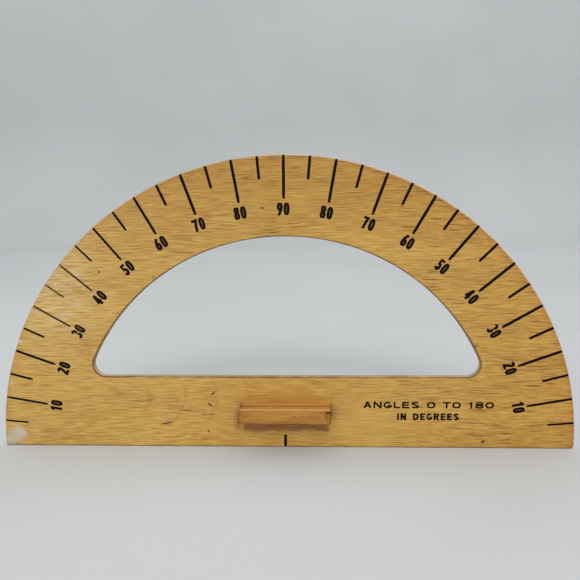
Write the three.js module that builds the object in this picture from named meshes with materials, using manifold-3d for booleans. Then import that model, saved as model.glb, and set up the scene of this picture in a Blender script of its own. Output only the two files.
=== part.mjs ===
// Blackboard protractor: a half-disc of five-ply wood with a window in it, and a moulded wooden
// finger pull on the front of its base bar, held by two countersunk screws from behind.
//
// Millimetres. +X runs along the straight edge, +Z points to the top of the arc, and the front
// faces -Y. The origin is the vertex, which every arc is centred on, on the back face.
//
// Everything is built in the board's own frame, which the last group stands upright: there x runs
// along the straight edge, y points to the top of the arc, and z is the depth from the back face.

import * as THREE from 'three';
import { mergeVertices } from 'three/addons/utils/BufferGeometryUtils.js';
import Module from 'manifold-3d';

const INCH = 25.4;

// Board
const BASE_LENGTH = 15 * INCH;
const OUTER_RADIUS = BASE_LENGTH / 2;
const EDGE_DROP = 1.3; // from the vertex down to the straight edge
const LEFT_CORNER_RADIUS = 1.5;
const RIGHT_CORNER_RADIUS = 2.5;
const WINDOW_RADIUS = 139.6;
const WINDOW_SILL = 47.4; // from the vertex up to the window's straight side
const WINDOW_FILLET = 8.2;
const OUTER_ARC_STEPS = 96;
const WINDOW_ARC_STEPS = 72;
const FILLET_STEPS = 5;
const PLIES = [
  { name: 'back_face_veneer', thickness: 0.8, crossGrain: false },
  { name: 'back_crossband', thickness: 1.0, crossGrain: true },
  { name: 'core_ply', thickness: 1.2, crossGrain: false },
  { name: 'front_crossband', thickness: 1.0, crossGrain: true },
  { name: 'front_face_veneer', thickness: 0.8, crossGrain: false },
];
const BOARD_THICKNESS = PLIES.reduce((sum, ply) => sum + ply.thickness, 0);

// Finger pull: a base block against the board, a cove for the fingertips above and below, and a lip
const HANDLE_LENGTH = 60.9;
const HANDLE_HEIGHT = 8.4;
const HANDLE_CENTRE_X = 0.5;
const HANDLE_CENTRE_Y = 25.4; // above the vertex
const HANDLE_DEPTH = 16.0; // from the board to the flat of the front
const HANDLE_BASE_DEPTH = 5.2; // where the base block ends and the cove begins
const HANDLE_COVE_END = 11.0;
const HANDLE_COVE_DEPTH = 0.8;
const HANDLE_EDGE_RADIUS = 0.5;
const CURVE_STEPS = 6;

// No. 6 x 1/2 in flat-head wood screws
const SCREW_SPACING = 36;
const SCREW_LENGTH = INCH / 2;
const SCREW_SINK = 0.2; // from the back face in to the top of the head
const HEAD_RADIUS = 3.45;
const HEAD_RIM = 0.25; // height of the head's straight rim
const HEAD_HALF_ANGLE = THREE.MathUtils.degToRad(41);
const SHANK_RADIUS = 1.75;
const ROOT_RADIUS = 1.25;
const SHANK_LENGTH = SCREW_LENGTH / 3; // smooth, from the top of the head
const THREAD_PITCH = 1.41; // 18 to the inch
const TIP_LENGTH = 2.4;
const SLOT_WIDTH = 1.0;
const SLOT_DEPTH = 0.9;
const SCREW_SIDES = 24;
const CLEARANCE = 0.3; // round a screw, in the wood that it goes through

const wasm = await Module();
wasm.setup();

// ---- Joining and cutting

function toSolid(geometry) {
  const bare = geometry.clone();
  bare.deleteAttribute('normal');
  bare.deleteAttribute('uv');
  const merged = mergeVertices(bare, 1e-4);
  return new wasm.Manifold(
    new wasm.Mesh({
      numProp: 3,
      vertProperties: new Float32Array(merged.attributes.position.array),
      triVerts: new Uint32Array(merged.index.array),
    }),
  );
}

function toGeometry(solid) {
  const { vertProperties, triVerts } = solid.getMesh();
  const geometry = new THREE.BufferGeometry();
  geometry.setAttribute('position', new THREE.BufferAttribute(vertProperties, 3));
  geometry.setIndex(new THREE.BufferAttribute(triVerts, 1));
  geometry.computeVertexNormals();
  return geometry;
}

function cut(geometry, tools) {
  let solid = toSolid(geometry);
  for (const tool of tools) solid = solid.subtract(toSolid(tool));
  return toGeometry(solid);
}

// ---- Outlines

function arcPoints(centreX, centreY, radius, from, to, steps) {
  const points = [];
  for (let i = 0; i <= steps; i += 1) {
    const angle = from + ((to - from) * i) / steps;
    points.push(new THREE.Vector2(centreX + radius * Math.cos(angle), centreY + radius * Math.sin(angle)));
  }
  return points;
}

// Centre of a circle that touches, from the inside, a big arc about the vertex and a level line
function filletCentre(bigRadius, lineY, radius) {
  const y = lineY + radius;
  return new THREE.Vector2(Math.sqrt((bigRadius - radius) ** 2 - y ** 2), y);
}

// A D shape on its back: a level line with an arc over it, its two corners rounded
function segmentOutline(bigRadius, lineY, leftRadius, rightRadius, arcSteps) {
  const right = filletCentre(bigRadius, lineY, rightRadius);
  const left = filletCentre(bigRadius, lineY, leftRadius);
  const rightAngle = Math.atan2(right.y, right.x);
  const leftAngle = Math.PI - Math.atan2(left.y, left.x);
  return [
    ...arcPoints(right.x, right.y, rightRadius, -Math.PI / 2, rightAngle, FILLET_STEPS),
    ...arcPoints(0, 0, bigRadius, rightAngle, leftAngle, arcSteps).slice(1, -1),
    ...arcPoints(-left.x, left.y, leftRadius, leftAngle, 1.5 * Math.PI, FILLET_STEPS),
  ];
}

function boardShape() {
  const shape = new THREE.Shape(
    segmentOutline(OUTER_RADIUS, -EDGE_DROP, LEFT_CORNER_RADIUS, RIGHT_CORNER_RADIUS, OUTER_ARC_STEPS),
  );
  const window = segmentOutline(
    WINDOW_RADIUS, WINDOW_SILL, WINDOW_FILLET, WINDOW_FILLET, WINDOW_ARC_STEPS,
  );
  shape.holes.push(new THREE.Path(window));
  return shape;
}

// Upper half of the finger pull's section: x is the depth from the board, y the half height
function handleHalfSection() {
  const half = HANDLE_HEIGHT / 2;
  const step = HANDLE_COVE_DEPTH / 2;
  const path = new THREE.Path();
  path.moveTo(0, half);
  path.lineTo(HANDLE_BASE_DEPTH, half);
  path.lineTo(HANDLE_BASE_DEPTH, half - step);
  path.bezierCurveTo(
    HANDLE_BASE_DEPTH + step, half - HANDLE_COVE_DEPTH - step,
    HANDLE_COVE_END - 2 * step, half - HANDLE_COVE_DEPTH - step,
    HANDLE_COVE_END, half,
  );
  path.lineTo(HANDLE_DEPTH - HANDLE_EDGE_RADIUS, half);
  path.absarc(
    HANDLE_DEPTH - HANDLE_EDGE_RADIUS, half - HANDLE_EDGE_RADIUS, HANDLE_EDGE_RADIUS,
    Math.PI / 2, 0, true,
  );
  return path.getPoints(CURVE_STEPS);
}

function handleGeometry() {
  const upper = handleHalfSection();
  const lower = upper.map((p) => new THREE.Vector2(p.x, -p.y)).reverse();
  const geometry = new THREE.ExtrudeGeometry(new THREE.Shape([...upper, ...lower]), {
    depth: HANDLE_LENGTH,
    bevelEnabled: false,
  });
  geometry.translate(0, 0, -HANDLE_LENGTH / 2);
  geometry.rotateY(-Math.PI / 2);
  return geometry;
}

// ---- Screws, from the top of the head at z = 0 to the tip

function headDepth() {
  return HEAD_RIM + (HEAD_RADIUS - SHANK_RADIUS) / Math.tan(HEAD_HALF_ANGLE);
}

function screwProfile() {
  const points = [
    [0, 0],
    [HEAD_RADIUS, 0],
    [HEAD_RADIUS, HEAD_RIM],
    [SHANK_RADIUS, headDepth()],
    [SHANK_RADIUS, SHANK_LENGTH],
  ];
  const threadEnd = SCREW_LENGTH - TIP_LENGTH;
  for (let z = SHANK_LENGTH; z + THREAD_PITCH <= threadEnd; z += THREAD_PITCH) {
    points.push([ROOT_RADIUS, z + THREAD_PITCH / 4], [ROOT_RADIUS, z + THREAD_PITCH / 2]);
    points.push([SHANK_RADIUS, z + THREAD_PITCH]);
  }
  points.push([ROOT_RADIUS, threadEnd], [0, SCREW_LENGTH]);
  return points;
}

// The hole that the screw sits in: countersink, clearance hole and pilot hole in one
function cavityProfile() {
  const widen = CLEARANCE / Math.cos(HEAD_HALF_ANGLE);
  const mouth = HEAD_RADIUS + CLEARANCE;
  const bore = SHANK_RADIUS + CLEARANCE;
  const coneTop = HEAD_RIM - (mouth - HEAD_RADIUS - widen) / Math.tan(HEAD_HALF_ANGLE);
  const coneEnd = coneTop + (mouth - bore) / Math.tan(HEAD_HALF_ANGLE);
  return [
    [0, -SCREW_SINK - CLEARANCE],
    [mouth, -SCREW_SINK - CLEARANCE],
    [mouth, coneTop],
    [bore, coneEnd],
    [bore, SCREW_LENGTH - TIP_LENGTH],
    [0, SCREW_LENGTH + CLEARANCE],
  ];
}

// Turns a profile of [radius, depth] pairs round an axis along z
function turned(profile) {
  const points = profile.map(([radius, depth]) => new THREE.Vector2(radius, depth));
  return new THREE.LatheGeometry(points, SCREW_SIDES).rotateX(Math.PI / 2);
}

function screwGeometry() {
  const slot = new THREE.BoxGeometry(3 * HEAD_RADIUS, SLOT_WIDTH, 2 * SLOT_DEPTH);
  return cut(turned(screwProfile()), [slot]);
}

// Each screw: where its axis is in the board's frame, and how far its slot is turned
const SCREWS = [
  { name: 'handle_screw_left', x: HANDLE_CENTRE_X - SCREW_SPACING / 2, slotTurn: 0.55 },
  { name: 'handle_screw_right', x: HANDLE_CENTRE_X + SCREW_SPACING / 2, slotTurn: -0.3 },
];

function screwCavities(originX, originY, originZ) {
  return SCREWS.map((screw) =>
    turned(cavityProfile()).translate(
      screw.x - originX, HANDLE_CENTRE_Y - originY, SCREW_SINK - originZ,
    ),
  );
}

// ---- Materials

const faceWood = new THREE.MeshStandardMaterial({ color: '#c49b51', roughness: 0.42, metalness: 0 });
const crossWood = new THREE.MeshStandardMaterial({ color: '#9a7238', roughness: 0.6, metalness: 0 });
const handleWood = new THREE.MeshStandardMaterial({ color: '#b98a45', roughness: 0.45, metalness: 0 });
const brass = new THREE.MeshStandardMaterial({ color: '#b08d45', roughness: 0.38, metalness: 1 });

// ---- Pieces

function addMesh(group, name, geometry, material) {
  const mesh = new THREE.Mesh(geometry, material.clone());
  mesh.name = name;
  group.add(mesh);
  return mesh;
}

function addPlies(group) {
  const shape = boardShape();
  let depth = 0;
  for (const ply of PLIES) {
    const sheet = new THREE.ExtrudeGeometry(shape, { depth: ply.thickness, bevelEnabled: false });
    const geometry = cut(sheet, screwCavities(0, 0, depth));
    const mesh = addMesh(group, ply.name, geometry, ply.crossGrain ? crossWood : faceWood);
    mesh.position.z = depth;
    depth += ply.thickness;
  }
}

function addHandle(group) {
  const geometry = cut(handleGeometry(), screwCavities(HANDLE_CENTRE_X, HANDLE_CENTRE_Y, BOARD_THICKNESS));
  const mesh = addMesh(group, 'handle', geometry, handleWood);
  mesh.position.set(HANDLE_CENTRE_X, HANDLE_CENTRE_Y, BOARD_THICKNESS);
}

function addScrews(group) {
  for (const screw of SCREWS) {
    const mesh = addMesh(group, screw.name, screwGeometry(), brass);
    mesh.position.set(screw.x, HANDLE_CENTRE_Y, SCREW_SINK);
    mesh.rotation.z = screw.slotTurn;
  }
}

const board = new THREE.Group();
addPlies(board);
addHandle(board);
addScrews(board);
board.rotation.x = Math.PI / 2;

const protractor = new THREE.Group();
protractor.add(board);

export default protractor;
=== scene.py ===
"""The looks of a wooden blackboard protractor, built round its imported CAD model.

The board's plies, the finger pull and the screws are rebuilt with fine meshes in the places that
the frame gives them, and the printed graduations are added as thin pieces of ink. Shapes are worked
out in millimetres in the plane of the board, x to the right and z up, and turned into metres last.
"""

import math
import random

import bmesh
import bpy
import numpy as np
from mathutils import Matrix, Vector, geometry, kdtree, noise


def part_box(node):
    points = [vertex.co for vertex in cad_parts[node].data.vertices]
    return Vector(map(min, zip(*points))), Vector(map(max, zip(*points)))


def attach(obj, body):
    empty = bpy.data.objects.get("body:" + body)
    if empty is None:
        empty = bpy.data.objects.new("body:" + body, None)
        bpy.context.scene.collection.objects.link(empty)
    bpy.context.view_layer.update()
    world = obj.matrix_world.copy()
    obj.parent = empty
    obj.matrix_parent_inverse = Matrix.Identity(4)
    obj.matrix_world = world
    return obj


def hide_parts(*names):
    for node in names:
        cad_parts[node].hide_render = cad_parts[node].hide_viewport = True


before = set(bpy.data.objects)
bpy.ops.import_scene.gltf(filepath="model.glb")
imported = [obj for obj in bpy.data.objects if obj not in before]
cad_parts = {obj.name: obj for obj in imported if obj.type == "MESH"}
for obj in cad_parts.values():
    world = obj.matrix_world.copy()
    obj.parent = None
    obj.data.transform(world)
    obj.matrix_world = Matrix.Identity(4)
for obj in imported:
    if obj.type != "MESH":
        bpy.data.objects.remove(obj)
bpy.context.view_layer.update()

MM = 0.001

# ---- Sizes of the CAD model, in millimetres

PLY_NAMES = (
    "front_face_veneer", "front_crossband", "core_ply", "back_crossband", "back_face_veneer",
)


def box_mm(node):
    low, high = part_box(node)
    return low / MM, high / MM


board_low, board_high = box_mm("front_face_veneer")
handle_low, handle_high = box_mm("handle")
screw_low, screw_high = box_mm("handle_screw_left")
FRONT = board_low.y
FLOOR = board_low.z
TUCK = 0.01  # how far the fine outline stays inside the CAD outline
OUTER_RADIUS = board_high.x - TUCK
STRAIGHT_EDGE = board_low.z + TUCK
LEFT_CORNER_RADIUS = 1.5
RIGHT_CORNER_RADIUS = 2.5
WINDOW_RADIUS = 139.6
WINDOW_SILL = 47.4
WINDOW_FILLET = 8.2
HEAD_RADIUS = (screw_high.x - screw_low.x) / 2
HEAD_HALF_ANGLE = math.radians(41)
HEAD_RIM = 0.25
SHANK_RADIUS = 1.75
ROOT_RADIUS = 1.25
SCREW_GAP = 0.12
SCREW_TURNS = {"handle_screw_left": 0.55, "handle_screw_right": -0.3}

# ---- Sizes of the print, in millimetres

LONG_TICK = 27.8
SHORT_TICK = 15.3
TICK_WIDTH = 1.9
NUMERAL_RADIUS = 0.822 * OUTER_RADIUS
NUMERAL_HEIGHT = 7.9
NUMERAL_WIDTH = 3.8
NUMERAL_STROKE = 1.8
NUMERAL_GAP = 0.45
NUMERAL_SHIFT = 0.35
NUMERAL_LEVEL = 0.9 * NUMERAL_STROKE
VERTEX_MARK = 8.9
TICK_INSET = 0.35
PRINT_REACH = 1.85
PRINT_LEFT = 0.85
PRINT_ABOVE = 2.3
NUMERALS_FOLLOW = 0.55  # the share of the shift that the numerals have
INK_FRONT = FRONT - 0.035
INK_BACK = FRONT + 0.02


# ---- Loops: lists of (point, outward normal) round a flat shape

def arc(centre, radius, start, end, pitch, least=6):
    """Points and normals on a circle from one angle to another, both ends included."""
    steps = max(least, math.ceil(abs(end - start) * radius / pitch))
    angles = [start + (end - start) * i / steps for i in range(steps + 1)]
    normals = [Vector((math.cos(a), math.sin(a))) for a in angles]
    return [(centre + radius * n, n) for n in normals]


def line(start, end, normal, pitch):
    """Points and normals strictly between two points."""
    steps = max(2, math.ceil((end - start).length / pitch))
    return [(start.lerp(end, i / steps), normal) for i in range(1, steps)]


def d_loop(radius, level, left_radius, right_radius, pitch):
    """An arc round the vertex over a level line, with rounded corners."""
    down = Vector((0, -1))
    centres = []
    for side, corner in ((1, right_radius), (-1, left_radius)):
        z = level + corner
        centres.append(Vector((side * math.sqrt((radius - corner) ** 2 - z * z), z)))
    right, left = centres
    right_angle = math.atan2(right.y, right.x)
    left_angle = math.atan2(left.y, left.x)
    loop = arc(right, right_radius, -math.pi / 2, right_angle, pitch)
    loop += arc(Vector((0, 0)), radius, right_angle, left_angle, pitch)[1:-1]
    loop += arc(left, left_radius, left_angle, 1.5 * math.pi, pitch)
    loop += line(loop[-1][0], loop[0][0], down, 2 * pitch)
    return loop


def circle_loop(centre, radius, steps=48):
    whole = arc(centre, radius, 0, 2 * math.pi, 1, steps)
    return whole[:-1]


def hole(loop):
    """The same loop with its normals turned into it, as the edge of a hole in a solid."""
    return [(point, -normal) for point, normal in loop]


# ---- Filling flat shapes with triangles

def winding(loop, points):
    """How many times a closed loop goes round each of the points."""
    a = np.array(loop)
    b = np.roll(a, -1, axis=0)
    turns = np.zeros(len(points), int)
    for (ax, ay), (bx, by) in zip(a, b):
        crosses = (ay > points[:, 1]) != (by > points[:, 1])
        if crosses.any():
            at = ax + (points[:, 1] - ay) * (bx - ax) / ((by - ay) or 1e-12)
            turns[crosses & (points[:, 0] < at)] += 1 if by > ay else -1
    return turns


def covers(shape, points):
    """Which points a shape covers: a lone loop is filled, several bound it by even and odd."""
    turns = [winding(loop, points) for loop in shape]
    return turns[0] != 0 if len(shape) == 1 else sum(turns) % 2 == 1


def triangulate(shapes, extra=()):
    """Triangles over the union of some shapes, each a list of closed loops.

    Returns the points, the triangles, and for each loop point in turn its place among the points.
    """
    loops = [loop for shape in shapes for loop in shape]
    points, edges = [], []
    for loop in loops:
        first = len(points)
        points += [Vector(p) for p in loop]
        edges += [(first + i, first + (i + 1) % len(loop)) for i in range(len(loop))]
    boundary = len(points)
    points += [Vector(p) for p in extra]
    made, _, faces, origins, _, _ = geometry.delaunay_2d_cdt(points, edges, [], 0, 1e-5)
    made = np.array([tuple(p) for p in made])
    faces = np.array([f for f in faces if len(f) == 3])
    middles = made[faces].mean(axis=1)
    keep = np.zeros(len(faces), bool)
    for shape in shapes:
        keep |= covers(shape, middles)
    place = {}
    for new, olds in enumerate(origins):
        for old in olds:
            if old < boundary:
                place[old] = new
    return made, faces[keep], [place[i] for i in range(boundary)]


def border(faces):
    """The directed edges that only one triangle has."""
    seen = set()
    for a, b, c in faces:
        seen |= {(a, b), (b, c), (c, a)}
    return [(a, b) for a, b in seen if (b, a) not in seen]


def plate(bm, shapes, front, back):
    """A flat plate of constant thickness over the union of some shapes."""
    points, faces, _ = triangulate(shapes)
    used = sorted(set(faces.ravel()))
    near = {i: bm.verts.new((points[i][0] * MM, front * MM, points[i][1] * MM)) for i in used}
    far = {i: bm.verts.new((points[i][0] * MM, back * MM, points[i][1] * MM)) for i in used}
    for a, b, c in faces:
        bm.faces.new((near[a], near[b], near[c]))
        bm.faces.new((far[c], far[b], far[a]))
    for a, b in border(faces):
        bm.faces.new((near[b], near[a], far[a], far[b]))


def vertex_ring(bm, points):
    """Vertices at some points given in millimetres."""
    return [bm.verts.new([c * MM for c in point]) for point in points]


def bridge(bm, rings):
    """Faces between each closed ring of vertices and the next."""
    for a, b in zip(rings, rings[1:]):
        for i in range(len(a)):
            j = (i + 1) % len(a)
            bm.faces.new((a[i], a[j], b[j], b[i]))


# ---- Objects

SMOOTH_UNDER = 35  # degrees between two faces


def linked(bm, name):
    """A new object in the scene, with a bmesh as its mesh."""
    mesh = bpy.data.meshes.new(name)
    bm.to_mesh(mesh)
    bm.free()
    made = bpy.data.objects.new(name, mesh)
    bpy.context.scene.collection.objects.link(made)
    return made


def finished(bm, name, material, body="root", sharp=SMOOTH_UNDER):
    """Turns a bmesh into an object with clean outward faces, riding on a body if one is named."""
    bmesh.ops.recalc_face_normals(bm, faces=bm.faces)
    if bm.calc_volume(signed=True) < 0:
        bmesh.ops.reverse_faces(bm, faces=bm.faces)
    made = linked(bm, name)
    for polygon in made.data.polygons:
        polygon.use_smooth = True
    made.data.set_sharp_from_angle(angle=math.radians(sharp))
    made.data.materials.append(material)
    if body:
        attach(made, body)
    return made


def carve(target, tool):
    """Cuts one object out of another and deletes the tool."""
    modifier = target.modifiers.new("carve", "BOOLEAN")
    modifier.operation = "DIFFERENCE"
    modifier.solver = "EXACT"
    modifier.object = tool
    bpy.context.view_layer.update()
    evaluated = target.evaluated_get(bpy.context.evaluated_depsgraph_get())
    mesh = bpy.data.meshes.new_from_object(evaluated)
    target.modifiers.clear()
    old = target.data
    target.data = mesh
    mesh.set_sharp_from_angle(angle=math.radians(SMOOTH_UNDER))
    bpy.data.meshes.remove(old)
    bpy.data.objects.remove(tool)


# ---- Materials

def srgb(code):
    """A hex colour as linear red, green, blue and alpha."""
    parts = [int(code[i:i + 2], 16) / 255 for i in (1, 3, 5)]
    return [*(c / 12.92 if c <= 0.04045 else ((c + 0.055) / 1.055) ** 2.4 for c in parts), 1]


class Shader:
    """A principled material whose nodes are made and linked by short calls.

    Sizes are in millimetres unless a length comes from another node.
    """

    def __init__(self, name, **settings):
        self.material = bpy.data.materials.new(name)
        self.material.use_nodes = True
        self.tree = self.material.node_tree
        self.bsdf = self.tree.nodes["Principled BSDF"]
        for key, value in settings.items():
            self.bsdf.inputs[key.replace("_", " ")].default_value = value
        self.place = self.node("ShaderNodeTexCoord").outputs["Object"]
        self.x, self.y, self.z = self.parts(self.place)
        self.colour = None

    def node(self, kind, inputs=None, **settings):
        made = self.tree.nodes.new(kind)
        for key, value in settings.items():
            setattr(made, key, value)
        for key, value in (inputs or {}).items():
            if isinstance(value, bpy.types.NodeSocket):
                self.tree.links.new(value, made.inputs[key])
            else:
                made.inputs[key].default_value = value
        return made

    def set(self, socket, value):
        self.tree.links.new(value, self.bsdf.inputs[socket])

    def done(self, rough=None, normal=None):
        """Links the finished colour, and a roughness and a normal if given."""
        self.set("Base Color", self.colour)
        for socket, value in (("Roughness", rough), ("Normal", normal)):
            if value is not None:
                self.set(socket, value)
        return self.material

    def maths(self, operation, first, second=0.0, clamp=False):
        values = {0: first, 1: second}
        made = self.node("ShaderNodeMath", values, operation=operation, use_clamp=clamp)
        return made.outputs[0]

    def plus(self, first, second):
        return self.maths("ADD", first, second)

    def minus(self, first, second):
        return self.maths("SUBTRACT", first, second)

    def larger(self, first, second):
        return self.maths("MAXIMUM", first, second)

    def times(self, product, *others):
        for other in others:
            product = self.maths("MULTIPLY", product, other)
        return product

    def parts(self, vector):
        """The x, y and z of a vector."""
        return self.node("ShaderNodeSeparateXYZ", {0: vector}).outputs[:]

    def vector(self, operation, first, second=(0, 0, 0)):
        made = self.node("ShaderNodeVectorMath", {0: first, 1: second}, operation=operation)
        return made.outputs["Value" if operation == "LENGTH" else "Vector"]

    def away_from(self, x):
        """How far each place is from a point on the x axis, along x, y and z."""
        offset = self.vector("SUBTRACT", self.place, (x * MM, 0, 0))
        return self.parts(self.vector("ABSOLUTE", offset))

    def noise(self, x, y, z, offset=0.0, detail=3.0, roughness=0.6, place=None):
        """Noise whose cells are about x, y and z long, from 0 to 1; offset shifts the pattern."""
        scale = [1 / (MM * size) for size in (x, y, z)]
        at = self.vector("MULTIPLY", place or self.place, scale)
        at = self.vector("ADD", at, (offset, 2 * offset, 3 * offset))
        values = {"Vector": at, "Scale": 1.0, "Detail": detail, "Roughness": roughness}
        return self.node("ShaderNodeTexNoise", values).outputs[0]

    def step(self, value, low, high, start=0.0, end=1.0):
        """Rises smoothly from start to end as value goes from low to high."""
        values = {
            "Value": value, "From Min": low, "From Max": high, "To Min": start, "To Max": end,
        }
        made = self.node("ShaderNodeMapRange", values, interpolation_type="SMOOTHSTEP")
        return made.outputs[0]

    def span(self, length, low, high, start=0.0, end=1.0):
        """A step for a length, with low and high in millimetres."""
        return self.step(length, low * MM, high * MM, start, end)

    def ridge(self, length, centre, width):
        """1 where a length is at the centre, falling to 0 at a width from it."""
        away = self.maths("ABSOLUTE", self.minus(length, centre * MM))
        return self.span(away, 0.0, width, 1.0, 0.0)

    def spot(self, x, z, wide, high, ragged=0.5, soft=0.45, cell=2.5, offset=0.0):
        """1 inside a ragged oval on the board's face, 0 outside it."""
        away = self.vector("SUBTRACT", self.place, (x * MM, 0, z * MM))
        away = self.vector("MULTIPLY", away, (1 / (wide * MM), 0, 1 / (high * MM)))
        rough = self.minus(self.noise(cell, cell, cell, offset), 0.5)
        reach = self.plus(self.vector("LENGTH", away), self.times(rough, 2 * ragged))
        return self.step(reach, 1 - soft, 1 + soft, 1.0, 0.0)

    def mix(self, factor, first, second, kind="MIX"):
        values = {0: factor, 6: first, 7: second}
        settings = {"data_type": "RGBA", "blend_type": kind, "clamp_factor": True}
        return self.node("ShaderNodeMix", values, **settings).outputs[2]

    def tones(self, factor, first, second):
        """Starts the colour as a mix of two."""
        self.colour = self.mix(factor, srgb(first), srgb(second))

    def blend(self, factor, code):
        """Turns the colour into another where the factor is 1."""
        self.colour = self.mix(factor, self.colour, srgb(code))

    def darken(self, factor, code):
        """Multiplies the colour by a tint where the factor is 1."""
        self.colour = self.mix(factor, self.colour, srgb(code), "MULTIPLY")

    def bump(self, height, strength, distance_mm, under=None):
        values = {"Height": height, "Strength": strength, "Distance": distance_mm * MM}
        if under is not None:
            values["Normal"] = under
        return self.node("ShaderNodeBump", values).outputs[0]

    def attribute(self, name):
        return self.node("ShaderNodeAttribute", attribute_name=name).outputs["Fac"]


# ---- Wear, in millimetres on the board's face

# Dents and pressed-in streaks: x, z, angle, half length, half width, depth, darkness (below 0
# for pale ones)
MARKS = (
    (-48.0, 35.8, 45, 2.8, 0.7, 0.3, 1.2),
    (-50.2, 28.1, -45, 2.9, 0.75, 0.35, 1.3),
    (-79.5, 15.1, 12, 6.0, 0.75, 0.2, 1.2),
    (-65.7, 24.2, 0, 5.4, 0.45, 0.08, 0.8),
    (-54.3, 21.4, 0, 2.3, 0.5, 0.1, 0.9),
    (-49.4, 21.5, 0, 2.5, 0.45, 0.08, 0.8),
    (-51.6, 9.5, 0, 1.2, 0.9, 0.25, 1.2),
    (-54.8, 3.9, 2, 4.0, 0.45, 0.08, 0.7),
    (-34.9, 16.1, 60, 1.0, 0.6, 0.1, 0.4),
    (-119.8, 117.2, 0, 1.2, 1.1, 0.25, 1.0),
    (-13.5, 157.5, 0, 1.2, 1.0, 0.25, 1.1),
    (131.0, 3.2, 30, 2.0, 1.0, 0.3, 1.2),
    (-148.6, 107.5, 88, 5.0, 0.28, 0.08, -0.6),
    (-149.5, 104.0, 35, 3.6, 0.25, 0.08, 0.5),
    (-68.2, 32.6, 90, 1.6, 0.35, 0.08, -0.5),
    (-166.0, 57.5, 0, 3.0, 0.3, 0.05, 0.4),
    (-169.5, 47.5, 50, 2.2, 0.25, 0.05, 0.4),
)
# Wood darkened by hands round the ends of the finger pull: x, z, half width, half height, strength
STAINS = (
    (-32.0, 18.0, 2.0, 6.5, 0.6),
    (-30.0, 30.5, 4.0, 1.8, 0.2),
    (32.8, 21.5, 1.6, 4.5, 0.35),
    (0.0, 31.8, 29.0, 2.6, 0.3),
)
# Places where the lacquer is gone: x, z, half width, half height, strength
BARE_PATCHES = (
    (-180.2, 8.2, 3.6, 4.4, 1.0),
    (-183.5, 6.0, 6.5, 6.5, 0.55),
    (-187.0, 3.0, 3.4, 3.4, 0.7),
    (-174.7, 71.3, 1.3, 1.0, 1.0),
    (-183.2, 43.5, 0.5, 3.2, 0.7),
)
MARK_REACH = 12  # more than the reach of any mark from its middle
WORN_CORNER = (13, 0.5)  # how far the lower left corner's wear reaches, and how deep it is
# How dark the levels of a rounded edge are, from the flat face to the wall, and the wall itself,
# with dirt and, along the base, painted contact shadow
ARRIS_DIRT_AND_SHADE = (0.75, 1.0, 1.0, 1.0, 0.7)
WALL_DIRT_AND_SHADE = 0.15


# ---- The materials of this object

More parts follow.
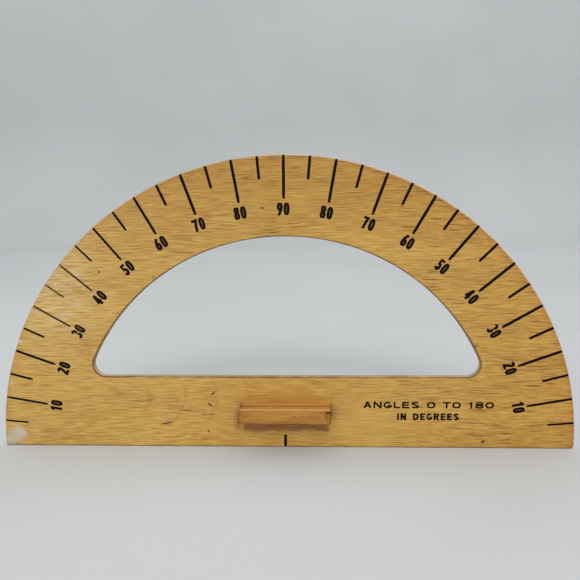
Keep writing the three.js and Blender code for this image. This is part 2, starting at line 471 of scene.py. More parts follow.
def veneer(name, offset, printed):
    """Rotary-cut face veneer under amber lacquer: grain along x, dark dashes, a faint figure."""
    s = Shader(name, Coat_Weight=0.25, Coat_Roughness=0.3, Specular_IOR_Level=0.4)
    sway = s.minus(s.noise(85, 60, 38, offset, 1, 0.5), 0.5)
    lift = s.node("ShaderNodeCombineXYZ", {"Z": s.times(sway, 7 * MM)}).outputs[0]
    grain = s.vector("ADD", s.place, lift)
    radius = s.vector("LENGTH", s.vector("MULTIPLY", s.place, (1, 0, 1)))

    # Broad bands of tone, growth rings, fine streaks, hairs and dashes
    broad = s.noise(120, 50, 17, offset + 3, 3, 0.55, grain)
    s.tones(s.step(broad, 0.3, 0.7), "#cba552", "#be9743")
    patches = s.noise(34, 30, 6, offset + 4, place=grain)
    s.blend(s.step(patches, 0.35, 0.65, 0, 0.35), "#c49d50")
    s.darken(growth_rings(s, grain, offset), "#d9bd97")
    streaks = s.noise(15, 5, 0.6, offset + 7, 2, 0.6, grain)
    s.darken(s.step(streaks, 0.48, 0.68, 0, 0.8), "#e0cba4")
    s.blend(s.step(streaks, 0.32, 0.46, 0.6, 0), "#dbbe70")
    hairs = s.step(s.noise(14, 5, 0.42, offset + 9, 1, 0.5, grain), 0.5, 0.64, 0, 0.9)
    s.darken(s.times(hairs, s.span(s.x, -150, 60, 1.0, 0.6)), "#e1cba5")
    zone = s.noise(60, 50, 30, offset + 11, 2, 0.5)
    zone = s.plus(zone, s.span(s.x, -60, 150, -0.04, 0.14))
    zone = s.plus(zone, s.span(s.z, 90, 190, 0, 0.1))
    long = s.step(s.noise(17, 6, 0.6, offset + 13, 1, 0.5, grain), 0.6, 0.68)
    short = s.step(s.noise(9, 4, 0.45, offset + 15, 1, 0.5, grain), 0.6, 0.7)
    dashes = s.larger(long, s.times(short, 0.6))
    dashes = s.times(dashes, s.step(zone, 0.38, 0.66, 0.12, 1.0))
    s.darken(dashes, "#b39a78")

    # The arc is darker than the bar, and the rims are browner, most of all on the right
    s.darken(s.span(s.z, 100, 185), "#eadbb4")
    ragged = s.times(s.noise(9, 9, 5, offset + 17), 5 * MM)
    rim = s.span(s.plus(radius, ragged), OUTER_RADIUS - 3, OUTER_RADIUS + 4)
    s.darken(s.times(rim, s.span(s.x, -80, 120, 0.25, 0.5)), "#dcb795")
    s.darken(s.span(s.x, 40, 190, 0, 0.8), "#fbe9c8")
    # A painted highlight: a pale line along the upper outer rim of the arc
    rim_highlight = s.span(radius, OUTER_RADIUS - 1.0, OUTER_RADIUS - 0.4)
    rim_highlight = s.times(rim_highlight, s.span(s.z, 70, 130, 0.1, 1.0), s.span(s.x, -120, 40, 0.25, 0.7))
    s.blend(rim_highlight, "#e4cfae")

    # Dark rounded edges: dirt, and along the base a painted contact shadow
    patchy = s.step(s.noise(12, 12, 12, offset + 21), 0.25, 0.6, 0.55, 1.0)
    s.darken(s.times(s.attribute("edge"), patchy), "#6f4f33")
    rough = s.step(s.noise(30, 30, 12, offset + 19), 0.2, 0.8, 0.34, 0.5)
    rough = worn_front(s, rough) if printed else chalky_back(s, rough, offset)
    ropes = s.noise(18, 6, 1.5, offset + 25, 2, 0.5, grain)
    pores = s.minus(s.times(streaks, 0.35), s.times(dashes, 0.5))
    return s.done(rough, s.bump(pores, 0.6, 0.07, s.bump(ropes, 0.5, 0.16)))


def growth_rings(s, grain, offset):
    """Faint nested arcs where the veneer was cut across the growth rings."""
    from_centre = s.vector("SUBTRACT", grain, (-130 * MM, 0, 33 * MM))
    from_centre = s.vector("MULTIPLY", from_centre, (1, 0, 1.7))
    wavy = s.times(s.noise(40, 40, 24, offset + 6, 2, 0.5), 8 * MM)
    reach = s.plus(s.vector("LENGTH", from_centre), wavy)
    lines = s.span(s.maths("PINGPONG", reach, 11 * MM), 0, 2.2, 1, 0)
    return s.times(lines, 0.33, s.spot(-68, 30, 42, 22, 0.4, 0.6, 9, offset))


def worn_front(s, rough):
    """Dirt in the dents, hand stains, a painted sheen on the upper left, a painted shadow under the
    finger pull, and bare wood where the lacquer is gone.
    """
    marks = s.attribute("marks")
    s.darken(s.step(marks, 0.02, 0.8), "#7d5228")
    s.blend(s.step(marks, -0.8, -0.02, 1, 0), "#e2c58a")
    # Pale streaks on the upper left: a painted sheen, over lacquer that is dry there
    dry = s.step(s.noise(13, 6, 0.9, 31.0, 2, 0.6), 0.42, 0.62)
    s.blend(s.times(s.spot(-152, 108, 26, 34, 0.4, 0.7, 12), dry, 0.45), "#d8c6a0")
    s.darken(s.spot(0, 26, 62, 26, 0.2, 0.9, 20), "#fbefdc")
    s.blend(s.times(s.spot(50, 20, 26, 26, 0.3, 0.9, 12), 0.28), "#d4ac58")
    for x, z, wide, high, strength in STAINS:
        s.darken(s.times(s.spot(x, z, wide, high, 0.35, 0.8, 5), strength), "#c49a70")
    # Painted shadow under the finger pull
    s.darken(under_handle(s), "#bd8050")
    for x, z, wide, high, strength in BARE_PATCHES:
        bare = s.times(s.spot(x, z, wide, high, 0.6, 0.5, 4), strength)
        s.blend(bare, "#bdb29c")
        rough = s.larger(rough, s.times(bare, 0.75))
    return rough


def under_handle(s):
    """A painted shadow: the band under the finger pull, darkened and browned like its cast shadow,
    with a wavy lower side.
    """
    across, _, down = s.away_from(HANDLE_MIDDLE)
    wavy = s.times(s.noise(15, 15, 15, 33.0, 1, 0.5), 7 * MM)
    lower = s.span(s.plus(down, wavy), 11.5, 14.5, 0, 0.72)
    return s.times(s.span(across, 27, 30, 1, 0), lower, s.span(down, 20, 24, 1, 0))


def chalky_back(s, rough, offset):
    """Scuffs on the side that slides on the blackboard, with a little chalk rubbed into them."""
    scuffs = s.times(s.noise(70, 40, 40, offset + 23), s.noise(4, 4, 9, offset + 29, 3, 0.7))
    chalk = s.step(scuffs, 0.27, 0.42, 0, 0.3)
    s.blend(chalk, "#dcc9a0")
    return s.larger(rough, s.times(chalk, 1.4))


def ply_edge(name, offset, light, dark, end_grain):
    """The rubbed edge of an inner ply: dotted where the grain ends in it, streaked along it."""
    s = Shader(name, Coat_Weight=0.1, Coat_Roughness=0.35)
    tone = s.noise(14, 14, 14, offset)
    s.tones(s.step(tone, 0.3, 0.7), light, dark)
    cell = (0.35, 0.35, 0.35) if end_grain else (6, 0.3, 6)
    grain = s.noise(*cell, offset + 3, 3, 0.65)
    s.darken(s.step(grain, 0.45, 0.7, 0, 0.8), "#b9936a")
    s.darken(s.step(s.noise(22, 22, 22, offset + 5), 0.45, 0.7, 0, 0.7), "#a98260")
    return s.done(s.step(tone, 0.3, 0.7, 0.5, 0.7), s.bump(grain, 0.5, 0.08))


def handle_wood():
    """Straight-grained moulding, darker in its coves and corners with grime and painted shade, with
    a painted highlight on its lip, and a worn right end with painted shadow in its break.
    """
    s = Shader("handle_wood", Coat_Roughness=0.3, Specular_IOR_Level=0.4)
    tone = s.noise(45, 7, 5, 2.0)
    s.tones(s.step(tone, 0.3, 0.7), "#bb8831", "#a77123")
    grain = s.noise(17, 0.55, 0.55, 5.0)
    s.darken(s.step(grain, 0.42, 0.7, 0, 0.8), "#cfa570")
    pores = s.step(s.noise(3.2, 0.7, 0.5, 9.0, 2, 0.5), 0.58, 0.72)
    s.darken(pores, "#b98c58")
    s.darken(s.span(s.x, -29, -12, 0.4, 0), "#e6bd98")
    s.blend(s.span(s.z, handle_high.z - 1.2, handle_high.z - 0.2, 0, 0.5), "#d6a152")

    # Grime and painted shade in the corners and under the lip, and a painted highlight on the lip,
    # which is also rubbed pale
    corner = s.larger(s.ridge(s.y, FRONT - HANDLE_BASE_DEPTH, 0.5), s.ridge(s.y, FRONT, 0.6))
    quirk = s.ridge(s.y, FRONT - HANDLE_LIP_END - 0.15, 0.6)
    grime_and_shade = s.step(s.noise(9, 3, 3, 15.0), 0.2, 0.6, 0.5, 1.0)
    s.darken(s.times(s.larger(corner, quirk), grime_and_shade), "#9a6a34")
    # A painted highlight along the rounded lip, where it is also rubbed pale
    lip_highlight = s.ridge(s.y, FRONT - HANDLE_LIP_START + 0.4, 1.1)
    on_top = s.span(s.z, handle_high.z - 0.5, handle_high.z - 0.2)
    s.blend(s.times(lip_highlight, on_top, 0.7), "#e3b873")

    # Both ends rubbed darker, torn fibres where the right end is broken, and painted shadow deep in
    # the break under the lip
    half = (handle_high.x - handle_low.x) / 2
    rubbed = s.plus(s.away_from(HANDLE_MIDDLE)[0], s.times(s.noise(3, 3, 3, 13.0), 3 * MM))
    s.darken(s.span(rubbed, half - 1.5, half + 1.8, 0, 0.8), "#b98058")
    wear = s.attribute("wear")
    fibres = s.step(s.noise(0.9, 0.9, 0.7, 21.0, 3, 0.7), 0.4, 0.6)
    fibres = s.mix(fibres, srgb("#a56c28"), srgb("#7a4a1a"))
    s.colour = s.mix(s.step(wear, 0.05, 0.6), s.colour, fibres)
    # Painted shadow where the break under the lip is deepest
    s.blend(s.step(wear, 0.86, 1.02), "#351b08")
    s.set("Coat Weight", s.maths("SUBTRACT", 0.2, s.times(wear, 0.6), clamp=True))
    dry = s.maths("MULTIPLY", wear, 1.5, clamp=True)
    rough = s.larger(s.step(tone, 0.2, 0.8, 0.36, 0.5), dry)
    return s.done(rough, s.bump(s.minus(grain, pores), 0.5, 0.07))


def ink():
    """Black printing ink, a little thin everywhere, and on the upper left rubbed away and painted
    paler with the lacquer's sheen.
    """
    s = Shader("print_ink", Specular_IOR_Level=0.08)
    cover = s.noise(0.5, 0.5, 0.5, 3.0)
    s.tones(s.step(cover, 0.55, 0.8, 0, 0.5), "#0c0504", "#1c0e0a")
    holes = s.step(s.noise(1.6, 0.8, 0.55, 7.0), 0.42, 0.62)
    # On the upper left the ink is rubbed thin and painted paler as painted sheen
    worn = s.times(s.spot(-149, 107, 19, 26, 0.3, 0.6, 9), s.plus(s.times(holes, 0.45), 0.08))
    s.blend(worn, "#a07f48")
    return s.done(s.step(cover, 0.3, 0.7, 0.55, 0.7), s.bump(cover, 0.3, 0.03))


def brass():
    """Dull turned brass with a dirty slot and fine rings from turning."""
    s = Shader("screw_brass", Metallic=1.0)
    tone = s.noise(2, 2, 2, 1.0)
    s.tones(s.step(tone, 0.3, 0.7), "#c2a05a", "#8a6a34")
    s.blend(s.span(s.y, -0.9, -0.35, 0.8, 0), "#3a2a18")
    turning = s.noise(0.15, 3, 1.2, 4.0, 2, 0.5)
    return s.done(s.step(tone, 0.3, 0.7, 0.3, 0.55), s.bump(turning, 0.3, 0.02))


def studio():
    """Matt pale paper for the floor and the walls of the studio."""
    s = Shader("studio_paper", Specular_IOR_Level=0.15, Roughness=0.9)
    s.tones(s.step(s.noise(600, 600, 600, 0.0, 2, 0.5), 0.3, 0.7), "#c6c9ca", "#cccecf")
    return s.done()


# ---- The board

ARRIS_STEPS = 4
FACE_ARRIS = 0.5
INNER_ARRIS = 0.07
OUTLINE_PITCH = 1.6
GRID = 3.2
RIM_INSET = 1.0  # of a line of points inside the outlines, which keeps the edge dirt and the painted base shadow on the edges
HOLE_RIM = 0.8  # the same round the screw holes
HOLE_DIRT = 0.6
# How much more or less rounded the edges are over long and short stretches and at the worn corner
LONG_WAVES = 0.45
SHORT_WAVES = 0.25
CORNER_ROUNDING = 1.1


def arris(radius):
    """(inset, depth) pairs from a flat face round a rounded edge to the wall."""
    turns = [math.pi / 2 * i / ARRIS_STEPS for i in range(ARRIS_STEPS + 1)]
    return [(radius * (1 - math.sin(a)), radius * (1 - math.cos(a))) for a in turns]


def mark_at(x, z):
    """How deep the wear is at a point on the face, and how dark (negative where pale)."""
    depth, dark = 0.0, 0.0
    for mark_x, mark_z, angle, half_length, half_width, deep, darkness in MARKS:
        dx, dz = x - mark_x, z - mark_z
        if max(abs(dx), abs(dz)) > MARK_REACH:
            continue
        c, s = math.cos(math.radians(angle)), math.sin(math.radians(angle))
        reach = math.hypot((dx * c + dz * s) / half_length, (dz * c - dx * s) / half_width)
        if reach < 1:
            strength = (1 - reach * reach) ** 2
            depth, dark = depth + deep * strength, dark + darkness * min(1, 1.5 * strength)
    reach, deep = WORN_CORNER
    corner = math.hypot(x - board_low.x, z - board_low.z) / reach
    if corner < 1:
        depth += deep * (1 - corner) ** 2
    return depth, dark


def mark_points():
    """Extra points, so that the mesh is fine enough to carry the marks."""
    points = []
    for x, z, angle, half_length, half_width, _, _ in MARKS:
        c, s = math.cos(math.radians(angle)), math.sin(math.radians(angle))
        along = max(4, math.ceil(2.4 * half_length / 0.5))
        for i in range(along + 1):
            for j in (-1.2, -0.7, -0.35, 0, 0.35, 0.7, 1.2):
                u, v = half_length * 1.2 * (2 * i / along - 1), j * half_width
                points.append((x + u * c - v * s, z + u * s + v * c))
    return points


def grid_points():
    """A honeycomb of points over the whole board."""
    points, row, z = [], 0, STRAIGHT_EDGE + GRID
    while z < OUTER_RADIUS:
        x = -OUTER_RADIUS + (GRID / 2 if row % 2 else 0)
        while x < OUTER_RADIUS:
            points.append((x, z))
            x += GRID
        z, row = z + GRID * math.sqrt(3) / 2, row + 1
    return points


def clear_of(points, fixed, gap):
    """The points that are at least gap from every fixed one."""
    tree = kdtree.KDTree(len(fixed))
    for i, (x, z) in enumerate(fixed):
        tree.insert((x, z, 0), i)
    tree.balance()
    return [p for p in points if tree.find((p[0], p[1], 0))[2] >= gap]


def cavity_radius(depth):
    """Radius of a screw's hole at a depth from the back face: a countersink, then a bore."""
    mouth = HEAD_RADIUS + SCREW_GAP
    bore = SHANK_RADIUS + SCREW_GAP
    cone_top = -screw_high.y + HEAD_RIM
    return max(bore, mouth - max(0.0, depth - cone_top) * math.tan(HEAD_HALF_ANGLE))


def ripple(point, size, seed):
    """Noise from -1 to 1 over the board, in waves of about the given size."""
    return noise.noise(Vector((point.x / size, point.y / size, seed)))


def edge_wear(loop, seed):
    """How rounded the edge is at each point of a loop, from well kept to much worn."""
    wear = []
    for point, _ in loop:
        value = 1 + LONG_WAVES * ripple(point, 23, seed) + SHORT_WAVES * ripple(point, 5, seed + 9)
        corner = math.hypot(point.x - board_low.x, point.y - board_low.z)
        wear.append(value + CORNER_ROUNDING * max(0, 1 - corner / MARK_REACH))
    return wear


def edge_dirt(loop, is_window, seed):
    """How dark the edge is at each point of a loop: dirt, most on the window and the base, and on
    the base also painted contact shadow.
    """
    dark_amounts = []
    for point, normal in loop:
        patch = ripple(point, 14, seed + 21)
        darkened = is_window or normal.y < -0.7
        dark_amounts.append(0.95 + 0.1 * patch if darkened else max(0.05, 0.2 + 0.5 * patch))
    return dark_amounts


def inside_line(loop, inset):
    """Points a little way in from a loop."""
    return [tuple(point - normal * inset) for point, normal in loop]


def ply(name, node, material, front_arris, back_arris, exposed, seed):
    """One ply as a closed solid with rounded edges, its window, and its two screw holes.

    The exposed side, "front" or "back", has a fine mesh that carries wear and dirt.
    """
    low, high = box_mm(node)
    front, back = low.y, high.y
    corners = (LEFT_CORNER_RADIUS, RIGHT_CORNER_RADIUS)
    outer = d_loop(OUTER_RADIUS, STRAIGHT_EDGE, *corners, OUTLINE_PITCH)
    fillets = (WINDOW_FILLET, WINDOW_FILLET)
    window = hole(d_loop(WINDOW_RADIUS, WINDOW_SILL, *fillets, OUTLINE_PITCH))
    loops = [outer, window]
    wears = [edge_wear(outer, seed), edge_wear(window, seed + 4)]
    edge_darkening = [edge_dirt(outer, False, seed), edge_dirt(window, True, seed)]
    levels = [(inset, front + depth) for inset, depth in arris(front_arris)]
    levels += [(inset, back - depth) for inset, depth in reversed(arris(back_arris))]

    def level_points(loop, wear, inset, y):
        """Points of a loop at one level; worn edges are rounder."""
        points = []
        for (point, normal), w in zip(loop, wear):
            if y < front + front_arris:
                at_y = front + (y - front) * w
            elif y > back - back_arris:
                at_y = back - (back - y) * w
            else:
                at_y = y
            spot = point - normal * inset * w
            points.append((spot.x, min(max(at_y, front), back), spot.y))
        return points

    rings = [[level_points(loop, wear, *level) for level in levels]
             for loop, wear in zip(loops, wears)]
    centres = []
    for screw in SCREW_TURNS:
        a, b = box_mm(screw)
        centre = Vector(((a.x + b.x) / 2, (a.z + b.z) / 2))
        centres.append(centre)
        hole_rings = []
        for y in (front, back):
            circle = circle_loop(centre, cavity_radius(-y))
            hole_rings.append([(p.x, y, p.y) for p, _ in circle])
        rings.append(hole_rings)
        edge_darkening.append([HOLE_DIRT] * len(circle))

    bm = bmesh.new()
    marks = bm.verts.layers.float.new("marks")
    edge = bm.verts.layers.float.new("edge")
    made = [[vertex_ring(bm, level) for level in ring] for ring in rings]
    for ring, dark_amounts in zip(made, edge_darkening):
        for n, level in enumerate(ring):
            share = ARRIS_DIRT_AND_SHADE[n] if n < len(ARRIS_DIRT_AND_SHADE) else WALL_DIRT_AND_SHADE
            for vert, amount in zip(level, dark_amounts):
                vert[edge] = amount * share
    for ring in made:
        bridge(bm, ring)
    for side, last in (("front", 0), ("back", -1)):
        flat = [[(p[0], p[2]) for p in ring[last]] for ring in rings]
        corners = [v for ring in made for v in ring[last]]
        fixed = [p for loop in flat for p in loop]
        y = front if side == "front" else back
        extra = []
        if side == exposed:
            rims = inside_line(outer, RIM_INSET) + inside_line(window, RIM_INSET)
            for centre in centres:
                rims += [tuple(p) for p, _ in circle_loop(centre, cavity_radius(-y) + HOLE_RIM)]
            extra = clear_of(rims, fixed, 0.35)
            if side == "front":
                extra += clear_of(mark_points(), fixed + extra, 0.5)
            extra += clear_of(grid_points(), fixed + extra, 0.6 * GRID)
        points, faces, places = triangulate([flat], extra)
        verts = dict(zip(places, corners))
        for i in sorted(set(faces.ravel()) - set(verts)):
            x, z = points[i]
            depth, dark = mark_at(x, z) if side == "front" else (0.0, 0.0)
            verts[i] = bm.verts.new((x * MM, (y + depth) * MM, z * MM))
            verts[i][marks] = dark
        for face in faces:
            bm.faces.new([verts[i] for i in face])
    made = finished(bm, name, material)
    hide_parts(node)
    return made


def board():
    """The five plies, front to back."""
    cross = ply_edge("cross_ply_wood", 3.0, "#bfa47e", "#98794f", True)
    core = ply_edge("core_ply_wood", 8.0, "#d0b890", "#b3945f", False)
    front_wood = veneer("front_face_wood", 0.0, True)
    back_wood = veneer("back_face_wood", 40.0, False)
    plies = (
        ("front_face", front_wood, FACE_ARRIS, INNER_ARRIS, "front", "face_wood"),
        ("front_cross_ply", cross, INNER_ARRIS, INNER_ARRIS, "", "cross_ply_wood"),
        ("middle_ply", core, INNER_ARRIS, INNER_ARRIS, "", "core_ply_wood"),
        ("back_cross_ply", cross, INNER_ARRIS, INNER_ARRIS, "", "cross_ply_wood"),
        ("back_face", back_wood, INNER_ARRIS, FACE_ARRIS, "back", "face_wood"),
    )
    for number, (node, row) in enumerate(zip(PLY_NAMES, plies)):
        name, material, front, back, exposed, slot = row
        ply(name, node, material, front, back, exposed, 7.3 * number)


# ---- The print: plates of ink on the front

def rectangle(x0, y0, x1, y1):
    return [[(x0, y0), (x1, y0), (x1, y1), (x0, y1)]]


def oval(x, y, wide, high, steps=28, square=2.5):
    """A rounded oval loop of the given half sizes; square is 2 for an ellipse, more is boxier."""
    loop = []
    for i in range(steps):
        c, s = math.cos(2 * math.pi * i / steps), math.sin(2 * math.pi * i / steps)
        loop.append((x + wide * math.copysign(abs(c) ** (2 / square), c),
                     y + high * math.copysign(abs(s) ** (2 / square), s)))
    return loop


def ring(x, y, wide, high, across, up, square=2.6):
    """An oval ring whose stroke is across wide at its sides and up high at its top."""
    inner = oval(x, y, wide - across, high - up, square=square)
    return [oval(x, y, wide, high, square=square), inner]


def bow(x, y, wide, high, start, end, steps=14):
    """Points on an elliptical arc, angles in degrees."""
    angles = [math.radians(start + (end - start) * i / steps) for i in range(steps + 1)]
    return [(x + wide * math.cos(a), y + high * math.sin(a)) for a in angles]


def stroke(path, width):
    """A stroke of even width with square ends along a path."""
    left, right = [], []
    for i, (x, y) in enumerate(path):
        (ax, ay), (bx, by) = path[max(0, i - 1)], path[min(len(path) - 1, i + 1)]
        length = math.hypot(bx - ax, by - ay)
        nx, ny = (ay - by) / length * width / 2, (bx - ax) / length * width / 2
        left.append((x + nx, y + ny))
        right.append((x - nx, y - ny))
    return [left + right[::-1]]


def turned_about(shapes, x, y):
    """Shapes turned half round about a point."""
    return [[[(2 * x - px, 2 * y - py) for px, py in loop] for loop in shape] for shape in shapes]


def glyph(sign, w, h, s, t):
    """A capital or digit in a box w by h, its upright strokes s wide, its level ones t high."""
    mid = w / 2
    rx, left = (w - s) / 2, s / 2
    upright = rectangle(0, 0, s, h)
    foot, head = rectangle(0, 0, w, t), rectangle(0, h - t, w, h)
    if sign in "0O":
        return [ring(mid, h / 2, mid, h / 2, s, t)]
    if sign == "1":
        stem = 0.42 * w
        tip = stem - 0.24 * w
        flag = [(stem + s / 2, h), (tip, h - 0.9 * t), (tip, h - 1.9 * t),
                (stem + s / 2, h - 1.2 * t)]
        return [rectangle(stem, 0, stem + s, h), [flag]]
    if sign == "2":
        curve = bow(mid, h - left - rx * 1.05, rx, rx * 1.05, 178, -28)
        return [stroke([*curve, (left * 1.1, t * 0.7)], s), foot]
    if sign == "3":
        return [stroke(bow(mid, h * 0.735, rx, h * 0.265 - t / 2, 160, -80), s * 0.95),
                stroke(bow(mid, h * 0.27, rx, h * 0.27 - t / 2, 80, -160), s)]
    if sign == "4":
        stem = w - 1.35 * s
        return [rectangle(stem, 0, stem + s, h), rectangle(0, h * 0.2, w, h * 0.2 + t),
                stroke([(s * 0.42, h * 0.2 + t / 2), (stem + s * 0.35, h)], s * 0.85)]
    if sign == "5":
        belly = bow(mid * 0.94, h * 0.325, rx, h * 0.325 - t / 2, 85, -165)
        return [rectangle(w * 0.14, h - t, w * 0.94, h),
                rectangle(w * 0.12, h * 0.5, w * 0.12 + s * 0.85, h),
                stroke([(w * 0.2, h * 0.56), *belly], s)]
    if sign in "69":
        back = [(left, h * 0.32), (left * 1.1, h * 0.5), (mid * 0.95, h * 0.8), (w * 0.72, h)]
        six = [ring(mid, h * 0.32, mid, h * 0.32, s, t), stroke(back, s)]
        return six if sign == "6" else turned_about(six, mid, h / 2)
    if sign == "7":
        return [head, stroke([(w - left * 1.1, h - t / 2), (mid, h * 0.4), (w * 0.4, 0)], s)]
    if sign == "8":
        return [ring(mid, h * 0.745, mid * 0.93, h * 0.255, s * 0.93, t * 0.95),
                ring(mid, h * 0.285, mid, h * 0.285, s, t)]
    if sign == "A":
        return [stroke([(left, 0), (mid, h)], s), stroke([(w - left, 0), (mid, h)], s),
                rectangle(w * 0.2, h * 0.22, w * 0.8, h * 0.22 + t)]
    if sign == "D":
        outer = [(0, 0), *bow(w * 0.42, h / 2, w * 0.58, h / 2, -90, 90), (0, h)]
        inner = [(s, t), *bow(w * 0.42, h / 2, w * 0.58 - s, h / 2 - t, -90, 90), (s, h - t)]
        return [[outer, inner]]
    if sign == "E":
        return [upright, foot, head, rectangle(0, (h - t) / 2, w * 0.9, (h + t) / 2)]
    if sign == "G":
        return [stroke(bow(mid, h / 2, rx, (h - t) / 2, 42, 322, 22), (s + t) / 2),
                rectangle(w - s, h * 0.12, w, h * 0.5), rectangle(mid, h * 0.5 - t, w, h * 0.5)]
    if sign == "I":
        return [upright]
    if sign == "L":
        return [upright, foot]
    if sign == "N":
        return [upright, rectangle(w - s, 0, w, h), stroke([(left, h), (w - left, 0)], s)]
    if sign == "R":
        x, y = w * 0.6, h * 0.71
        outer = [(0, h * 0.42), *bow(x, y, w * 0.38, h * 0.29, -90, 90), (0, h)]
        inner = bow(x, y, w * 0.38 - s, h * 0.29 - t, -90, 90)
        inner = [(s, h * 0.42 + t), *inner, (s, h - t)]
        return [upright, [outer, inner], stroke([(mid, h * 0.46), (w - left, 0)], s)]
    if sign == "S":
        upper = bow(mid, h * 0.735, rx, h * 0.265 - t / 2, 25, 250)
        lower = bow(mid, h * 0.265, rx, h * 0.265 - t / 2, 70, -155)
        return [stroke([*upper, *lower], (s + t) / 2)]
    if sign == "T":
        return [head, rectangle(mid - left, 0, mid + left, h)]
    return []


def place_shapes(shapes, origin, right, up):
    """Shapes in a glyph's own box put on the board, their corner at origin."""
    return [[[(origin[0] + x * right[0] + y * up[0], origin[1] + x * right[1] + y * up[1])
              for x, y in loop] for loop in shape] for shape in shapes]


def inward(angle):
    """How much further in the print reaches: its centre is above and left of the vertex."""
    return PRINT_REACH + PRINT_LEFT * math.cos(angle) - PRINT_ABOVE * math.sin(angle)


def numerals():
    """Numbers along the arc, their heads outward, counting up to the top from both ends."""
    bm = bmesh.new()
    for degrees in range(10, 171, 10):
        angle = math.radians(degrees)
        up = (math.cos(angle), math.sin(angle))
        right = (up[1], -up[0])
        digits = str(min(degrees, 180 - degrees))
        total = len(digits) * NUMERAL_WIDTH + (len(digits) - 1) * NUMERAL_GAP
        for i, digit in enumerate(digits):
            across = i * (NUMERAL_WIDTH + NUMERAL_GAP) - total / 2 - NUMERAL_SHIFT
            out = NUMERAL_RADIUS - NUMERALS_FOLLOW * inward(angle) - NUMERAL_HEIGHT / 2
            origin = (out * up[0] + across * right[0], out * up[1] + across * right[1])
            shapes = glyph(digit, NUMERAL_WIDTH, NUMERAL_HEIGHT, NUMERAL_STROKE, NUMERAL_LEVEL)
            plate(bm, place_shapes(shapes, origin, right, up), INK_FRONT, INK_BACK)
    return bm


def tick_loop(start, end, width, rng):
    """A printed line with blunt, slightly uneven sides."""
    along = (end - start).normalized()
    side = Vector((-along.y, along.x)) * width / 2
    steps = 10
    wobble = [1 + rng.uniform(-0.05, 0.05) for _ in range(2 * steps + 2)]
    ends = [0.72, *[1] * (steps - 1), 0.8]
    places = [start.lerp(end, i / steps) for i in range(steps + 1)]
    left = [p + side * wobble[i] * ends[i] for i, p in enumerate(places)]
    right = [p - side * wobble[steps + 1 + i] * ends[i] for i, p in enumerate(places)]
    return [left + right[::-1]]


def tick_weight(degrees):
    """How heavily a line is printed: lighter at both ends, and worn on the upper left."""
    right = 0.75 + degrees / 90
    left = 0.58 + (180 - degrees) / 50
    worn = 1 - 0.34 * max(0.0, 1 - abs(degrees - 143) / 30)
    return min(1.0, right, left, worn)


def graduations():
    """A line every five degrees, the tens longer, and the vertex mark on the straight edge."""
    rng = random.Random(15)
    bm = bmesh.new()
    rim = OUTER_RADIUS - TICK_INSET
    for degrees in range(5, 180, 5):
        angle = math.radians(degrees)
        out = Vector((math.cos(angle), math.sin(angle)))
        length = (SHORT_TICK if degrees % 10 else LONG_TICK) + inward(angle)
        width = TICK_WIDTH * tick_weight(degrees) * (0.93 if degrees % 10 else 1.0)
        loop = tick_loop(out * (OUTER_RADIUS - length), out * rim, width, rng)
        plate(bm, [loop], INK_FRONT, INK_BACK)
    foot = Vector((0, STRAIGHT_EDGE + TICK_INSET))
    head = Vector((0, STRAIGHT_EDGE + VERTEX_MARK))
    plate(bm, [tick_loop(foot, head, TICK_WIDTH, rng)], INK_FRONT, INK_BACK)
    return bm


# A line of words, the level of its feet, the height and width of its capitals, their stroke, the
# gap between two
CAPTIONS = (
    ("ANGLES 0 TO 180", 26.2, 4.4, 5.5, 1.2, 1.15),
    ("IN DEGREES", 18.0, 4.7, 3.8, 1.3, 0.9),
)
CAPTION_CENTRE = 94.3
WORD_SPACE = 2.6
# Letters narrower than the rest, as a share of their width
NARROW = {"1": 0.62, "L": 0.8, "E": 0.85, "T": 0.92}


def caption():
    """Two lines of plain words that say what the scale is."""
    bm = bmesh.new()
    for words, base, height, width, thick, gap in CAPTIONS:
        fixed = {"I": thick, " ": WORD_SPACE}
        sizes = [fixed.get(sign, NARROW.get(sign, 1) * width) for sign in words]
        x = CAPTION_CENTRE - (sum(sizes) + gap * (len(words) - 1)) / 2
        for sign, size in zip(words, sizes):
            shapes = glyph(sign, size, height, thick, thick * 0.86)
            if shapes:
                shapes = place_shapes(shapes, (x, base), (1, 0), (0, 1))
                plate(bm, shapes, INK_FRONT, INK_BACK)
            x += size + gap
    return bm


def print_on_front():
    material = ink()
    prints = (("graduations", graduations), ("numerals", numerals), ("caption_lines", caption))
    for name, make in prints:
        finished(make(), name, material)


# ---- The finger pull

HANDLE_BASE_DEPTH = 5.2
HANDLE_COVE_END = 11.0
HANDLE_COVE_DEPTH = 0.8
HANDLE_CROWN = 0.2
HANDLE_LIP = 0.55  # from the top down to the foot of the rounded lip
HANDLE_LIP_START = 12.3
HANDLE_LIP_END = 14.5
HANDLE_EDGE = 0.3
HANDLE_SWELL = 0.12  # how far the swelled front stays behind the CAD front
END_EDGE = 0.45
TORN_LENGTH = 6.5  # of the broken end, which has its stations close together
STATION_PITCH = 1.1
HANDLE_LEFT = handle_low.x
HANDLE_RIGHT = handle_high.x
HANDLE_MIDDLE = (HANDLE_LEFT + HANDLE_RIGHT) / 2
HANDLE_HALF = (handle_high.z - handle_low.z) / 2
HANDLE_DEPTH = handle_high.y - handle_low.y


def bezier(a, b, c, d, steps):
    """Points on a cubic curve, without its first one."""
    points = []
    for i in range(1, steps + 1):
        t = i / steps
        a_share, b_share = (1 - t) ** 3, 3 * (1 - t) ** 2 * t
        c_share, d_share = 3 * (1 - t) * t * t, t ** 3
        points.append(tuple(a_share * p + b_share * q + c_share * r + d_share * s
                            for p, q, r, s in zip(a, b, c, d)))
    return points


